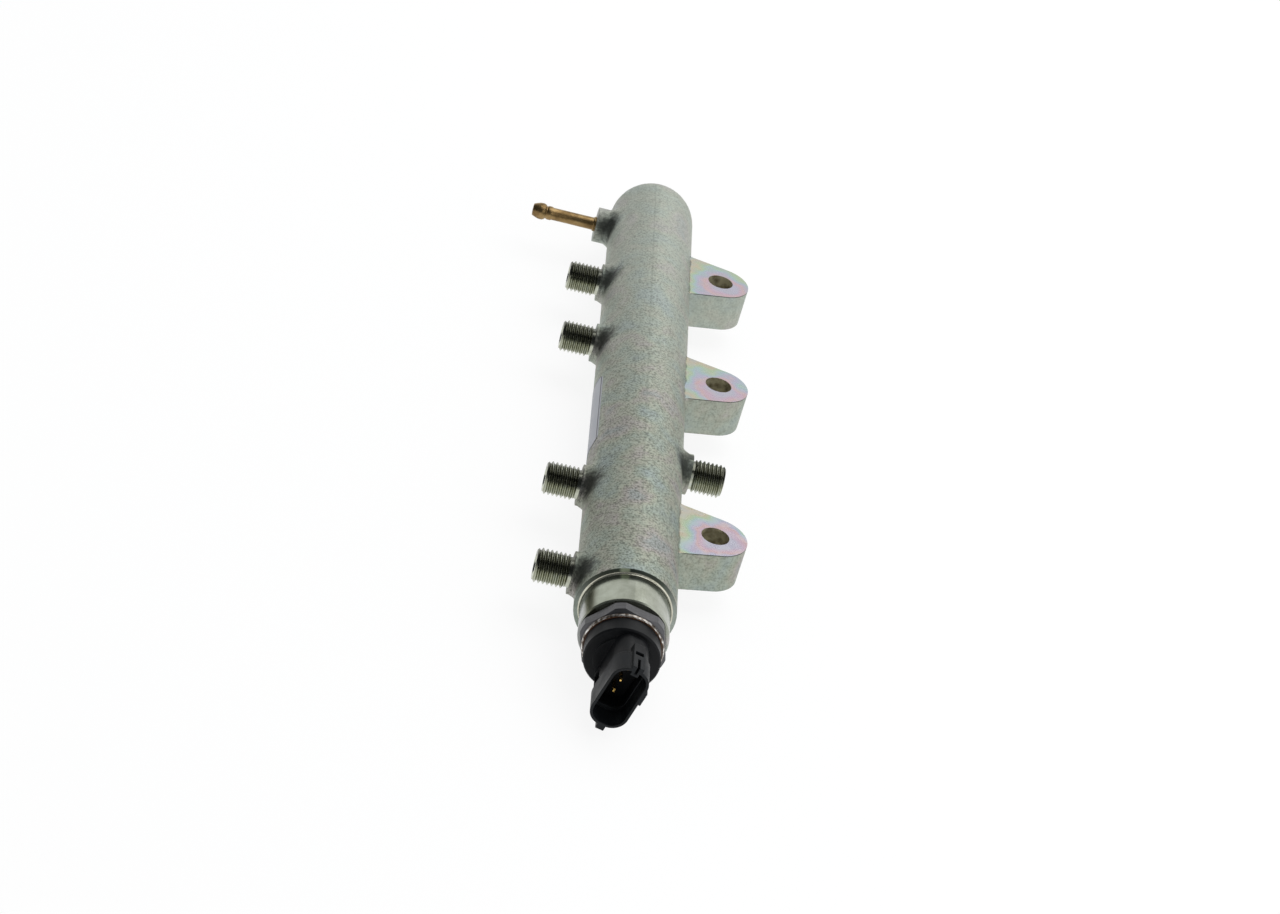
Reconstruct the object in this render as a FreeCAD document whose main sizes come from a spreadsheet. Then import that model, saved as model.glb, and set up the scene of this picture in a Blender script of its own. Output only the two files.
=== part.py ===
import FreeCAD, Part
import Sketcher
import math
import os

# A high-pressure fuel rail of a four-cylinder diesel engine. One steel forging holds the fuel and
# carries three mounting lugs, four outlet studs, one inlet stud and a boss with a brass return
# nipple. A pressure sensor is screwed into the open end of its bore.
#
# Every piece is drawn in the rail's frame: Y runs along the bore from the turned shoulder at the
# sensor end to the closed end, X points to the mounting lugs and Z is the bolts' direction. The
# finished pieces are then placed so that the origin is midway between the two outer bolt holes,
# in the plane of the lugs' seats.

# Millimetres, and degrees where the name says angle. Values of y are measured from the shoulder.
SIZES = {
    # barrel, collar and bore
    "barrel_radius": 17.0,
    "shoulder_step": 2.1,
    "collar_length": 14.6,
    "collar_chamfer": 0.4,
    "shoulder_fillet": 0.8,
    "bore_radius": 5.5,
    "drill_point_angle": 59.0,
    # stations along the rail: outlets, return and ball end from one another, the rest from them
    "first_outlet_y": 15.0,
    "second_outlet_pitch": 54.0,
    "third_outlet_pitch": 100.0,
    "fourth_outlet_pitch": 47.5,
    "return_pitch": 47.5,
    "ball_centre_pitch": 11.0,
    "bore_end_margin": 3.0,
    "near_lug_offset": 30.0,
    "middle_lug_offset": 22.5,
    "far_lug_offset": 10.0,
    "inlet_offset": 23.2,
    "label_offset": 20.5,
    # mounting lugs and their bolt holes
    "bolt_line_reach": 11.0,
    "lug_thickness": 15.0,
    "lug_tip_radius": 11.3,
    "lug_taper_angle": 15.0,
    "lug_root_depth": 7.0,
    "lug_flare_depth": 2.4,
    "lug_flare_radius": 3.0,
    "bolt_hole_radius": 4.95,
    # forged bosses and threaded studs
    "boss_radius": 7.3,
    "boss_flare_angle": 22.0,
    "boss_flare_height": 1.2,
    "outlet_boss_height": 2.0,
    "outlet_stud_length": 12.4,
    "inlet_boss_height": 2.8,
    "inlet_stud_length": 12.2,
    "thread_radius": 5.95,
    "thread_chamfer": 0.9,
    "relief_radius": 5.2,
    "relief_length": 1.1,
    "cone_mouth_radius": 3.7,
    "cone_angle": 30.0,
    "drilling_radius": 1.2,
    # return branch
    "return_boss_radius": 7.0,
    "return_boss_height": 5.7,
    "nipple_radius": 2.5,
    "nipple_bore_radius": 1.5,
    "nipple_press_length": 8.0,
    "nipple_reach": 26.0,
    "nipple_bead_radius": 2.8,
    "nipple_bead_offset": 18.4,
    "nipple_bead_length": 1.5,
    "nipple_bulb_radius": 3.35,
    "nipple_bulb_length": 5.4,
    "nipple_tip_radius": 2.4,
    "throttle_radius": 2.0,
    "throttle_length": 5.0,
    "throttle_orifice_radius": 0.35,
    "throttle_entry_radius": 1.0,
    "throttle_entry_length": 3.4,
    # adhesive label
    "label_length": 45.8,
    "label_thickness": 0.12,
    "label_top_angle": 154.5,
    "label_wrap_angle": 67.0,
    "label_corner": 3.0,
    # sensor port: threaded stem, sealing nose and hexagon
    "socket_radius": 9.0,
    "socket_end_y": -1.0,
    "seat_radius": 6.8,
    "seat_start_y": 0.5,
    "seat_angle": 30.0,
    "stem_play": 0.1,
    "nose_radius": 6.5,
    "nose_tip_radius": 5.8,
    "nose_start_y": -2.5,
    "port_gap": 1.5,
    "hexagon_across": 27.0,
    "hexagon_height": 4.1,
    "hexagon_turned_radius": 14.7,
    "hexagon_face_radius": 13.4,
    "hexagon_chamfer": 0.8,
    "port_drilling_radius": 1.25,
    "sensor_roll_angle": 13.4,
    # sensor element, carrier and board
    "element_radius": 3.6,
    "element_height": 2.0,
    "membrane_thickness": 0.5,
    "element_cavity_radius": 2.4,
    "board_radius": 10.2,
    "board_thickness": 1.0,
    "carrier_height": 2.6,
    "carrier_radius": 10.2,
    "carrier_inner_radius": 7.6,
    # crimp ring, seal and connector housing
    "crimp_outer_radius": 13.35,
    "crimp_inner_radius": 12.8,
    "crimp_length": 1.1,
    "seal_length": 0.9,
    "housing_radius": 12.5,
    "housing_length": 7.3,
    "housing_edge": 0.5,
    "housing_cavity_radius": 10.9,
    "housing_cavity_depth": 5.2,
    "pedestal_radius": 9.3,
    "pedestal_height": 0.8,
    "block_half_width": 5.9,
    "block_half_length": 10.9,
    "block_corner": 4.6,
    "block_length": 10.8,
    "shroud_half_width": 6.35,
    "shroud_half_length": 12.1,
    "shroud_corner": 5.6,
    "shroud_length": 9.1,
    "shroud_wall": 0.9,
    "socket_depth": 14.4,
    "latch_half_width": 1.95,
    "latch_height": 1.2,
    "latch_length": 12.4,
    "latch_slot_depth": 1.7,
    "latch_slot_half_width": 1.4,
    "latch_slot_offset": 6.6,
    "key_half_width": 1.3,
    "key_height": 1.5,
    "key_groove_half_width": 0.45,
    "foot_half_width": 1.4,
    "foot_height": 1.7,
    "foot_length": 4.5,
    "side_rib_height": 0.7,
    "side_rib_start": 0.5,
    "side_rib_length": 5.0,
    "notch_depth": 1.3,
    "notch_start": 3.5,
    "notch_length": 4.2,
    "notch_axial_start": 3.2,
    "notch_axial_length": 5.6,
    # contact pins
    "pin_pitch": 4.8,
    "pin_half_width": 0.8,
    "pin_half_thickness": 0.3,
    "pin_recess": 9.4,
    "pin_tip_taper": 0.5,
}

document = FreeCAD.newDocument("fuel_rail")
sheet = document.addObject("Spreadsheet::Sheet", "sizes")
for row, (name, number) in enumerate(SIZES.items(), 1):
    sheet.set(f"A{row}", name)
    sheet.set(f"B{row}", str(number))
    sheet.setAlias(f"B{row}", name)
document.recompute()


class Length:
    """A size that carries both its number and the formula that works it out from the sheet."""

    def __init__(self, number, formula):
        self.number = number
        self.formula = formula

    def __add__(self, other):
        other = plain(other)
        return Length(self.number + other.number, f"({self.formula} + {other.formula})")

    def __radd__(self, other):
        return plain(other) + self

    def __sub__(self, other):
        other = plain(other)
        return Length(self.number - other.number, f"({self.formula} - {other.formula})")

    def __rsub__(self, other):
        return plain(other) - self

    def __mul__(self, other):
        other = plain(other)
        return Length(self.number * other.number, f"({self.formula} * {other.formula})")

    def __truediv__(self, other):
        other = plain(other)
        return Length(self.number / other.number, f"({self.formula} / {other.formula})")

    def __neg__(self):
        return Length(-self.number, f"(0 - {self.formula})")


def plain(value):
    """A bare number as a Length, so that it can stand in a formula."""
    if isinstance(value, Length):
        return value
    return Length(float(value), str(value))


def sine(angle):
    return Length(math.sin(math.radians(angle.number)), f"sin({angle.formula})")


def cosine(angle):
    return Length(math.cos(math.radians(angle.number)), f"cos({angle.formula})")


def tangent(angle):
    return Length(math.tan(math.radians(angle.number)), f"tan({angle.formula})")


class Sheet:
    """Gives each named size of the sheet as a Length."""

    def __getattr__(self, name):
        return Length(SIZES[name], f"sizes.{name}")


S = Sheet()
ZERO = plain(0)

# Places that several pieces share
bolt_line_x = S.barrel_radius + S.bolt_line_reach
second_outlet_y = S.first_outlet_y + S.second_outlet_pitch
third_outlet_y = second_outlet_y + S.third_outlet_pitch
fourth_outlet_y = third_outlet_y + S.fourth_outlet_pitch
return_y = fourth_outlet_y + S.return_pitch
near_lug_y = S.first_outlet_y + S.near_lug_offset
middle_lug_y = third_outlet_y - S.middle_lug_offset
far_lug_y = fourth_outlet_y + S.far_lug_offset
return_face_x = S.barrel_radius + S.return_boss_height
nipple_end_x = return_face_x + S.nipple_reach
collar_front_y = -S.collar_length
hexagon_back_y = collar_front_y - S.port_gap
hexagon_front_y = hexagon_back_y - S.hexagon_height
housing_front_y = hexagon_front_y - S.housing_length
rim_y = housing_front_y - S.block_length - S.shroud_length
half_lug = S.lug_thickness / 2
element_front_y = hexagon_front_y - S.element_height
board_back_y = hexagon_front_y - S.carrier_height
board_front_y = board_back_y - S.board_thickness
nipple_root_x = return_face_x - S.nipple_press_length
throttle_root_x = nipple_root_x - S.throttle_length


def new_body(label, roll=None):
    """An empty body, placed so that the bolt pattern's centre in the seat plane is the origin."""
    body = document.addObject("PartDesign::Body", label)
    body.Label = label
    body.Placement = FreeCAD.Placement(FreeCAD.Vector(), FreeCAD.Rotation(FreeCAD.Vector(0, 1, 0), 1))
    body.setExpression("Placement.Base.x", (-bolt_line_x).formula)
    body.setExpression("Placement.Base.y", (-(near_lug_y + far_lug_y) / 2).formula)
    body.setExpression("Placement.Base.z", half_lug.formula)
    body.setExpression("Placement.Rotation.Angle", (roll or ZERO).formula)
    return body


def origin_plane(body, role):
    return next(part for part in body.Origin.OriginFeatures if part.Role == role)


def arc_direction(arcs, edge):
    """The two ends of a sketch edge in the order in which the outline runs through them."""
    return (2, 1) if edge in arcs and arcs[edge][1].number < 0 else (1, 2)


def fix_point(sketch, edge, end, point):
    """Ties one end of a sketch edge to its place from the sketch's origin."""
    for kind, axis, place in (("DistanceX", -2, point[0]), ("DistanceY", -1, point[1])):
        if place.formula == ZERO.formula:
            sketch.addConstraint(Sketcher.Constraint("PointOnObject", edge, end, axis))
        else:
            constraint = Sketcher.Constraint(kind, -1, 1, edge, end, place.number)
            index = sketch.addConstraint(constraint)
            sketch.setExpression(f"Constraints[{index}]", place.formula)


def vector(point):
    return FreeCAD.Vector(point[0].number, point[1].number, 0)


def draw(body, name, plane, points, arcs=None, shift=None):
    """A closed outline through points in one of the body's origin planes.

    arcs gives, for the edge that leaves a point, its centre and radius. It runs anticlockwise, or
    clockwise if the radius is negative. shift is the sketch's own origin: across, up and out of
    that plane.
    """
    arcs = arcs or {}
    sketch = body.newObject("Sketcher::SketchObject", name)
    sketch.AttachmentSupport = [(origin_plane(body, plane), "")]
    sketch.MapMode = "FlatFace"
    for axis, offset in zip("xyz", shift or ()):
        sketch.setExpression(f"AttachmentOffset.Base.{axis}", plain(offset).formula)
    points = [(plain(across), plain(up)) for across, up in points]
    count = len(points)
    for edge, point in enumerate(points):
        start, end = vector(point), vector(points[(edge + 1) % count])
        if edge in arcs:
            centre, radius = vector(arcs[edge][0]), arcs[edge][1].number
            first, last = (start, end) if radius > 0 else (end, start)
            first_angle = math.atan2(first.y - centre.y, first.x - centre.x)
            last_angle = math.atan2(last.y - centre.y, last.x - centre.x)
            last_angle += math.tau if last_angle < first_angle else 0
            circle = Part.Circle(centre, FreeCAD.Vector(0, 0, 1), abs(radius))
            sketch.addGeometry(Part.ArcOfCircle(circle, first_angle, last_angle), False)
        else:
            sketch.addGeometry(Part.LineSegment(start, end), False)
    for edge, point in enumerate(points):
        following = (edge + 1) % count
        first, last = arc_direction(arcs, edge)
        next_first = arc_direction(arcs, following)[0]
        sketch.addConstraint(Sketcher.Constraint("Coincident", edge, last, following, next_first))
        fix_point(sketch, edge, first, point)
        if edge in arcs:
            radius = arcs[edge][1]
            index = sketch.addConstraint(Sketcher.Constraint("Radius", edge, abs(radius.number)))
            sketch.setExpression(f"Constraints[{index}]", f"abs({radius.formula})")
    return sketch


def finish_feature(feature, cuts):
    """Builds the feature and makes sure that it added or took away material."""
    before = feature.BaseFeature.Shape.Volume if feature.BaseFeature else 0
    document.recompute()
    gain = feature.Shape.Volume - before
    if (gain >= 0) if cuts else (gain <= 0):
        raise RuntimeError(f"{feature.Label} changes nothing")


def turn(body, name, points, arcs=None, cut=False, plane="XY_Plane", axis="V_Axis", shift=None):
    """Revolves a half outline about an axis of its sketch, to add material or to cut it away."""
    sketch = draw(body, name + "_outline", plane, points, arcs, shift)
    feature = body.newObject("PartDesign::Groove" if cut else "PartDesign::Revolution", name)
    feature.Profile = sketch
    feature.ReferenceAxis = (sketch, [axis])
    feature.Angle = 360
    finish_feature(feature, cut)


def extrude(body, name, points, length, arcs=None, cut=False, plane="XZ_Plane", shift=None):
    """Pads an outline along its plane's normal, or cuts it away in the same direction."""
    sketch = draw(body, name + "_outline", plane, points, arcs, shift)
    feature = body.newObject("PartDesign::Pocket" if cut else "PartDesign::Pad", name)
    feature.Profile = sketch
    feature.setExpression("Length", length.formula)
    feature.Reversed = cut
    finish_feature(feature, cut)


def rectangle(left, right, bottom, top):
    return [(left, bottom), (right, bottom), (right, top), (left, top)]


def rounded_rectangle(half_width, half_length, corner):
    """The outline of a rounded rectangle about the origin and its four corner arcs."""
    wide, long = half_width - corner, half_length - corner
    points = [
        (half_width, -long), (half_width, long), (wide, half_length), (-wide, half_length),
        (-half_width, long), (-half_width, -long), (-wide, -half_length), (wide, -half_length),
    ]
    arcs = {
        1: ((wide, long), corner),
        3: ((-wide, long), corner),
        5: ((-wide, -long), corner),
        7: ((wide, -long), corner),
    }
    return points, arcs


def add_lug(body, name, lug_y):
    """One mounting lug: a flat teardrop about its bolt hole that flares out into the barrel."""
    slope, reach = sine(S.lug_taper_angle), cosine(S.lug_taper_angle)
    tip_x = bolt_line_x + S.lug_tip_radius * slope
    tip_y = S.lug_tip_radius * reach
    root_x = S.barrel_radius - S.lug_root_depth
    flare_end_x = S.barrel_radius - S.lug_flare_depth
    flare = S.lug_flare_radius
    flare_x = flare_end_x + flare
    flare_y = (S.lug_tip_radius + flare + (bolt_line_x - flare_x) * slope) / reach
    side_x = flare_x - flare * slope
    side_y = flare_y - flare * reach
    points = [
        (root_x, -flare_y), (flare_end_x, -flare_y), (side_x, -side_y), (tip_x, -tip_y),
        (tip_x, tip_y), (side_x, side_y), (flare_end_x, flare_y), (root_x, flare_y),
    ]
    arcs = {
        1: ((flare_x, -flare_y), -flare),
        3: ((bolt_line_x, ZERO), S.lug_tip_radius),
        5: ((flare_x, flare_y), -flare),
    }
    shift = (ZERO, lug_y, -half_lug)
    extrude(body, name, points, S.lug_thickness, arcs, plane="XY_Plane", shift=shift)


def cut_bolt_hole(body, name, lug_y):
    """A bolt's clearance hole, drilled right through a lug."""
    hole = rectangle(ZERO, S.bolt_hole_radius, -half_lug, half_lug)
    turn(body, name, hole, cut=True, plane="XZ_Plane", shift=(bolt_line_x, ZERO, -lug_y))


def add_boss(body, name, side, boss_y, radius, face_x):
    """A round forged boss on one side of the barrel, +1 for the lugs' side, that flares out at its
    root as the die's draft leaves it."""
    inside = S.bore_radius
    flare_x = S.barrel_radius + S.boss_flare_height
    root_radius = radius + (flare_x - inside) * tangent(S.boss_flare_angle)
    outline = [
        (inside, ZERO), (face_x, ZERO), (face_x, radius), (flare_x, radius), (inside, root_radius),
    ]
    points = [(place * side, across) for place, across in outline]
    turn(body, name, points, axis="H_Axis", shift=(ZERO, boss_y, ZERO))


def add_stud(body, name, side, stud_y, face_x, end_x):
    """The stud on a boss: a thread relief, the thread's full diameter and an end chamfer."""
    thread_x = face_x + S.relief_length
    edge_x = end_x - S.thread_chamfer
    inside = S.bore_radius
    outline = [
        (inside, ZERO), (end_x, ZERO), (end_x, S.thread_radius - S.thread_chamfer),
        (edge_x, S.thread_radius), (thread_x, S.thread_radius), (thread_x, S.relief_radius),
        (inside, S.relief_radius),
    ]
    points = [(place * side, radius) for place, radius in outline]
    turn(body, name, points, axis="H_Axis", shift=(ZERO, stud_y, ZERO))


def drill_stud(body, name, side, stud_y, end_x):
    """The pipe's sealing cone in the stud's end, and the drilling from it to the bore."""
    throat_x = end_x - (S.cone_mouth_radius - S.drilling_radius) / tangent(S.cone_angle)
    outline = [
        (ZERO, ZERO), (end_x, ZERO), (end_x, S.cone_mouth_radius),
        (throat_x, S.drilling_radius), (ZERO, S.drilling_radius),
    ]
    points = [(place * side, radius) for place, radius in outline]
    turn(body, name, points, cut=True, axis="H_Axis", shift=(ZERO, stud_y, ZERO))


def build_rail_body():
    """The forging: barrel with a ball end, lugs and bosses, then all that is machined into it."""
    body = new_body("rail_body")
    fillet = S.shoulder_fillet
    collar_radius = S.barrel_radius - S.shoulder_step
    ball_centre_y = return_y + S.ball_centre_pitch
    barrel = [
        (ball_centre_y + S.barrel_radius, ZERO), (ball_centre_y, S.barrel_radius),
        (ZERO, S.barrel_radius), (ZERO, collar_radius + fillet), (-fillet, collar_radius),
        (collar_front_y + S.collar_chamfer, collar_radius),
        (collar_front_y, collar_radius - S.collar_chamfer), (collar_front_y, ZERO),
    ]
    ball = {0: ((ball_centre_y, ZERO), S.barrel_radius)}
    turn(body, "barrel", barrel, ball, plane="YZ_Plane", axis="H_Axis")

    lugs = {"near": near_lug_y, "middle": middle_lug_y, "far": far_lug_y}
    for place, lug_y in lugs.items():
        add_lug(body, place + "_lug", lug_y)
    outlets = [S.first_outlet_y, second_outlet_y, third_outlet_y, fourth_outlet_y]
    outlet_face_x = S.barrel_radius + S.outlet_boss_height
    outlet_end_x = outlet_face_x + S.outlet_stud_length
    inlet_face_x = S.barrel_radius + S.inlet_boss_height
    studs = [(f"outlet_{number}", -1, y, outlet_face_x, outlet_end_x)
             for number, y in enumerate(outlets, 1)]
    studs.append(("inlet", 1, second_outlet_y + S.inlet_offset, inlet_face_x,
                  inlet_face_x + S.inlet_stud_length))
    for name, side, stud_y, face_x, _ in studs:
        add_boss(body, name + "_boss", side, stud_y, S.boss_radius, face_x)
    add_boss(body, "return_boss", -1, return_y, S.return_boss_radius, return_face_x)
    for name, side, stud_y, face_x, end_x in studs:
        add_stud(body, name + "_stud", side, stud_y, face_x, end_x)
    seat_end_y = S.seat_start_y + (S.seat_radius - S.bore_radius) / tangent(S.seat_angle)
    bore_end_y = ball_centre_y - S.bore_end_margin
    point_y = bore_end_y + S.bore_radius / tangent(S.drill_point_angle)
    bore = [
        (ZERO, collar_front_y), (S.socket_radius, collar_front_y),
        (S.socket_radius, S.socket_end_y), (S.seat_radius, S.socket_end_y),
        (S.seat_radius, S.seat_start_y), (S.bore_radius, seat_end_y),
        (S.bore_radius, bore_end_y), (ZERO, point_y),
    ]
    turn(body, "bore", bore, cut=True)
    for name, side, stud_y, _, end_x in studs:
        drill_stud(body, name + "_drilling", side, stud_y, end_x)
    branch = [
        (ZERO, ZERO), (-return_face_x, ZERO), (-return_face_x, S.nipple_radius),
        (-nipple_root_x, S.nipple_radius), (-nipple_root_x, S.throttle_radius),
        (-throttle_root_x, S.throttle_radius), (-throttle_root_x, S.throttle_entry_radius),
        (ZERO, S.throttle_entry_radius),
    ]
    turn(body, "return_drilling", branch, cut=True, axis="H_Axis", shift=(ZERO, return_y, ZERO))
    for place, lug_y in lugs.items():
        cut_bolt_hole(body, place + "_bolt_hole", lug_y)
    return body


def build_return_nipple():
    """The turned brass hose nipple, pressed into its boss, with a bead and a bulb for the hose."""
    body = new_body("return_nipple")
    bead_x = return_face_x + S.nipple_bead_offset
    bead_end_x = bead_x + S.nipple_bead_length
    bulb_x = nipple_end_x - S.nipple_bulb_length
    bulb_rise = S.nipple_bulb_radius - S.nipple_radius
    outline = [
        (nipple_root_x, S.nipple_bore_radius), (nipple_end_x, S.nipple_bore_radius),
        (nipple_end_x, S.nipple_tip_radius),
        (nipple_end_x - S.nipple_bulb_length / 2, S.nipple_bulb_radius),
        (bulb_x + bulb_rise, S.nipple_bulb_radius), (bulb_x, S.nipple_radius),
        (bead_end_x, S.nipple_radius), (bead_end_x, S.nipple_bead_radius),
        (bead_x, S.nipple_bead_radius), (bead_x, S.nipple_radius),
        (nipple_root_x, S.nipple_radius),
    ]
    points = [(-place, radius) for place, radius in outline]
    turn(body, "nipple", points, axis="H_Axis", shift=(ZERO, return_y, ZERO))
    return body


def build_return_throttle():
    """The steel plug behind the nipple, whose fine hole sets how much fuel returns."""
    body = new_body("return_throttle")
    step_x = throttle_root_x + S.throttle_entry_length
    outline = [
        (throttle_root_x, S.throttle_entry_radius), (throttle_root_x, S.throttle_radius),
        (nipple_root_x, S.throttle_radius), (nipple_root_x, S.throttle_orifice_radius),
        (step_x, S.throttle_orifice_radius), (step_x, S.throttle_entry_radius),
    ]
    points = [(-place, radius) for place, radius in outline]
    turn(body, "throttle", points, axis="H_Axis", shift=(ZERO, return_y, ZERO))
    return body


def build_label():
    """A thin adhesive label with rounded corners, wrapped round the side of the barrel."""
    half_wrap = S.label_wrap_angle / 2
    body = new_body("label", roll=-(S.label_top_angle + half_wrap))
    half_length = S.label_length / 2
    near_y = second_outlet_y + S.label_offset
    far_y = near_y + S.label_length
    half_height = S.barrel_radius * sine(half_wrap)
    points, arcs = rounded_rectangle(half_length, half_height, S.label_corner)
    shift = (near_y + half_length, ZERO, S.barrel_radius / 2)
    extrude(body, "label_block", points, S.barrel_radius, arcs, plane="YZ_Plane", shift=shift)
    under = rectangle(ZERO, S.barrel_radius, near_y, far_y)
    turn(body, "label_back", under, cut=True)
    outer = S.barrel_radius + S.label_thickness
    over = rectangle(outer, S.barrel_radius * 2, near_y, far_y)
    turn(body, "label_face", over, cut=True)
    return body


def build_sensor_port():
    """The sensor's steel port, turned from bar in one piece with its hexagon."""
    body = new_body("sensor_port", roll=S.sensor_roll_angle)
    stem_radius = S.socket_radius - S.stem_play
    nose_seat_y = S.seat_start_y + (S.seat_radius - S.nose_radius) / tangent(S.seat_angle)
    nose_tip_y = S.seat_start_y + (S.seat_radius - S.nose_tip_radius) / tangent(S.seat_angle)
    stem = [
        (S.port_drilling_radius, hexagon_back_y), (stem_radius, hexagon_back_y),
        (stem_radius, S.nose_start_y), (S.nose_radius, S.nose_start_y),
        (S.nose_radius, nose_seat_y), (S.nose_tip_radius, nose_tip_y),
        (S.port_drilling_radius, nose_tip_y),
    ]
    turn(body, "stem", stem)
    half_across = S.hexagon_across / 2
    corner = S.hexagon_across * plain(math.sqrt(1 / 3))
    half_flat = corner / 2
    hexagon = [
        (half_flat, -half_across), (corner, ZERO), (half_flat, half_across),
        (-half_flat, half_across), (-corner, ZERO), (-half_flat, -half_across),
    ]
    shift = (ZERO, ZERO, -hexagon_back_y)
    extrude(body, "hexagon", hexagon, S.hexagon_height, shift=shift)
    outside = corner + S.hexagon_chamfer
    corners = [
        (S.hexagon_face_radius, hexagon_front_y), (outside, hexagon_front_y),
        (outside, hexagon_back_y), (S.hexagon_turned_radius, hexagon_back_y),
        (S.hexagon_turned_radius, hexagon_front_y + S.hexagon_chamfer),
    ]
    turn(body, "turned_corners", corners, cut=True)
    passage = rectangle(ZERO, S.port_drilling_radius, hexagon_front_y, hexagon_back_y)
    turn(body, "pressure_passage", passage, cut=True)
    return body


def build_sensing_element():
    """The steel cup welded over the port's passage, whose thin top bends with the pressure."""
    body = new_body("sensing_element", roll=S.sensor_roll_angle)
    under_membrane_y = element_front_y + S.membrane_thickness
    cup = [
        (ZERO, element_front_y), (S.element_radius, element_front_y),
        (S.element_radius, hexagon_front_y), (S.element_cavity_radius, hexagon_front_y),
        (S.element_cavity_radius, under_membrane_y), (ZERO, under_membrane_y),
    ]
    turn(body, "cup", cup)
    return body


def build_board_carrier():
    """The plastic ring that holds the circuit board off the port."""
    body = new_body("board_carrier", roll=S.sensor_roll_angle)
    ring = rectangle(S.carrier_inner_radius, S.carrier_radius, board_back_y, hexagon_front_y)
    turn(body, "carrier", ring)
    return body


def pin_places():
    return [S.pin_pitch * step for step in (-1, 0, 1)]


def build_circuit_board():
    """The round amplifier board over the sensing element, with a slot for each pin."""
    body = new_body("circuit_board", roll=S.sensor_roll_angle)
    disc = rectangle(ZERO, S.board_radius, board_front_y, board_back_y)
    turn(body, "disc", disc)
    for number, place in enumerate(pin_places(), 1):
        slot = rectangle(-S.pin_half_thickness, S.pin_half_thickness,
                         place - S.pin_half_width, place + S.pin_half_width)
        shift = (ZERO, ZERO, -board_back_y)
        extrude(body, f"pin_slot_{number}", slot, S.board_thickness, cut=True, shift=shift)
    return body


def build_crimp_ring():
    """The thin steel ring on the hexagon's face that closes over the housing's foot."""
    body = new_body("crimp_ring", roll=S.sensor_roll_angle)
    front_y = hexagon_front_y - S.crimp_length
    ring = rectangle(S.crimp_inner_radius, S.crimp_outer_radius, front_y, hexagon_front_y)
    turn(body, "ring", ring)
    return body


def build_sealing_ring():
    """The brown sealing bead between the crimp ring and the housing."""
    body = new_body("sealing_ring", roll=S.sensor_roll_angle)
    front_y = hexagon_front_y - S.seal_length
    bead = rectangle(S.housing_radius, S.crimp_inner_radius, front_y, hexagon_front_y)
    turn(body, "bead", bead)
    return body


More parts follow.
